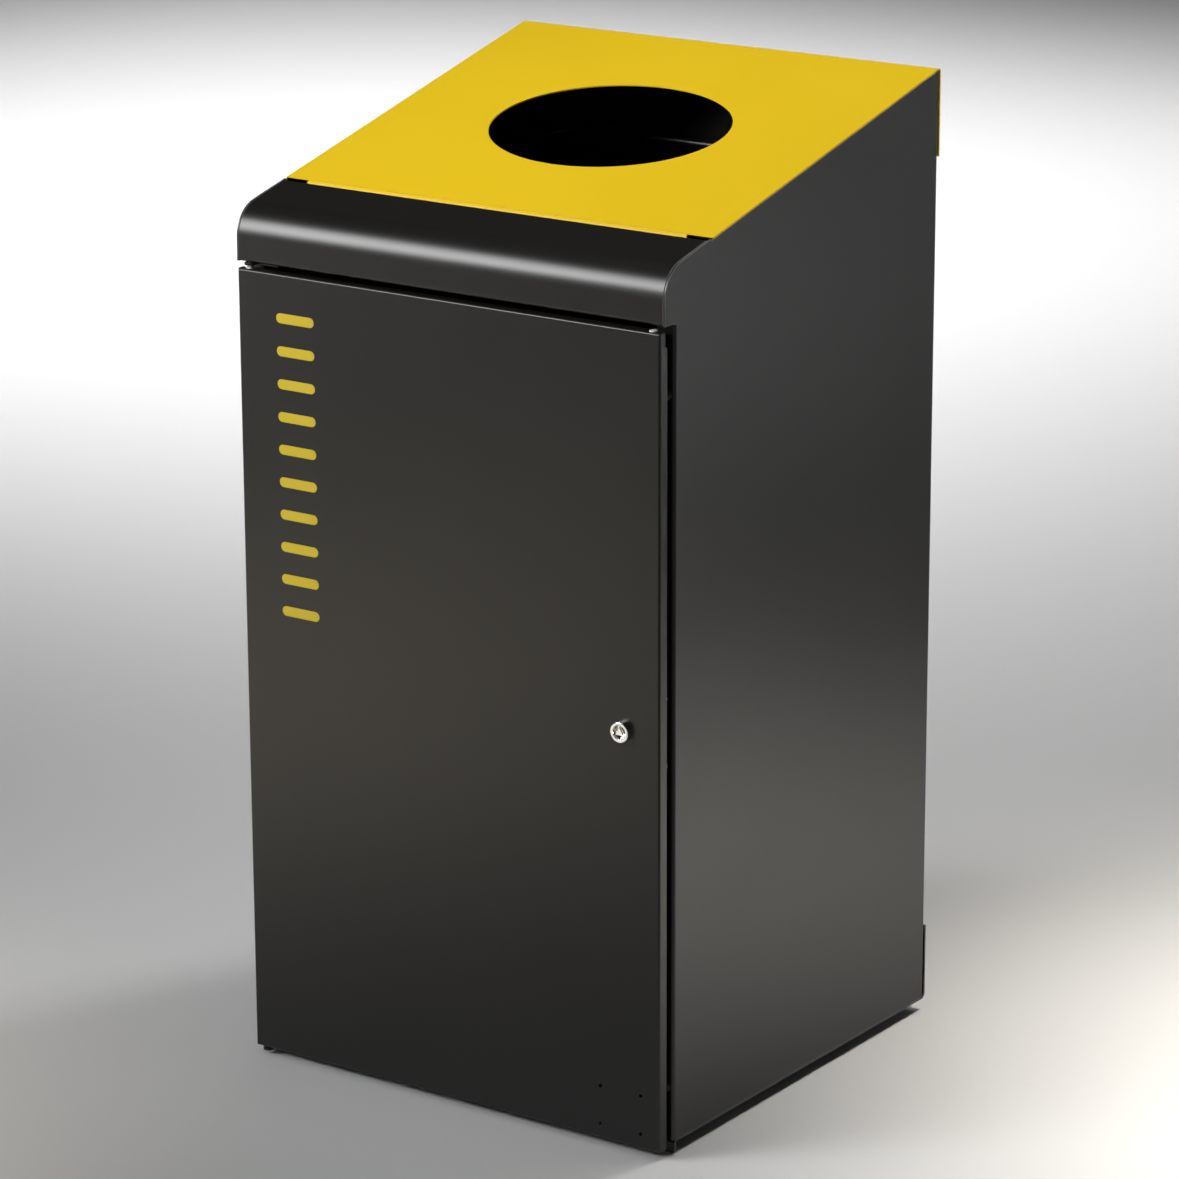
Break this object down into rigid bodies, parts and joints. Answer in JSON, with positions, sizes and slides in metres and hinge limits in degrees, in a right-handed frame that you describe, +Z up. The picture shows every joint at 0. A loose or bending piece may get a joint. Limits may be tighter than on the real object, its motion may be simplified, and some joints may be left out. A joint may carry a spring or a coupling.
{
  "type": "sorting bin",
  "caption": "Tall sheet-steel sorting bin with a sloping top, an oval drop opening, a rounded front edge and a hinged front door with a cam lock.",
  "frame": {"origin": "on the floor, under the middle of the outer box", "axes": "+Z up, -Y towards the front (the door), +X to the viewer's right"},
  "size_m": [0.405, 0.4, 0.7992],
  "materials": {
    "dark_paint": "fine-textured matt powder coat, warm anthracite",
    "yellow_panel": "smooth satin powder coat, signal yellow",
    "yellow_film": "thin matt vinyl film",
    "chrome": "bright chrome plate",
    "zinc_steel": "bright zinc-plated steel",
    "white_nylon": "moulded natural nylon",
    "black_nylon": "moulded black nylon",
    "rubber": "moulded black rubber"
  },
  "bodies": {
    "cabinet": {"base_tray": "dark_paint", "left_side_panel": "dark_paint", "right_side_panel": "dark_paint", "back_panel": "dark_paint", "nose_cover": "dark_paint", "nose_brackets": "zinc_steel", "top_panel": "yellow_panel", "feet": "rubber", "foot_screws": "zinc_steel", "foot_nuts": "zinc_steel", "base_rivets": "zinc_steel", "back_rivets": "zinc_steel", "lip_rivets": "zinc_steel", "flange_screws": "zinc_steel", "upper_hinge_bracket": "dark_paint", "lower_hinge_bracket": "dark_paint", "bracket_rivets": "zinc_steel", "upper_hinge_pin": "zinc_steel", "lower_hinge_pin": "zinc_steel", "door_buffers": "rubber", "lock_keeper": "zinc_steel", "keeper_rivets": "zinc_steel", "ring_hinge_blocks": "black_nylon", "ring_block_screws": "zinc_steel", "ring_rests": "zinc_steel"},
    "door": {"door_panel": "dark_paint", "door_stiffener": "dark_paint", "upper_hinge_bush": "white_nylon", "lower_hinge_bush": "black_nylon", "upper_plug": "white_nylon", "lower_plug": "black_nylon", "door_bars": "yellow_film", "lock_housing": "chrome", "lock_nut": "zinc_steel"},
    "lock": {"lock_plug": "chrome", "lock_cam": "zinc_steel", "cam_screw": "zinc_steel"},
    "bag_ring": {"bag_ring": "dark_paint"}
  },
  "joints": [
    {"name": "door_hinge", "type": "hinge", "parent": "cabinet", "child": "door", "pos_m": [-0.191, -0.19, 0.333], "axis": [0, 0, -1], "range_deg": [0, 110]},
    {"name": "lock_turn", "type": "hinge", "parent": "door", "child": "lock", "pos_m": [0.166, -0.195, 0.3455], "axis": [0, -1, 0], "range_deg": [0, 90]},
    {"name": "ring_tilt", "type": "hinge", "parent": "cabinet", "child": "bag_ring", "pos_m": [0, 0.177, 0.718], "axis": [-1, 0, 0], "range_deg": [0, 10]}
  ]
}
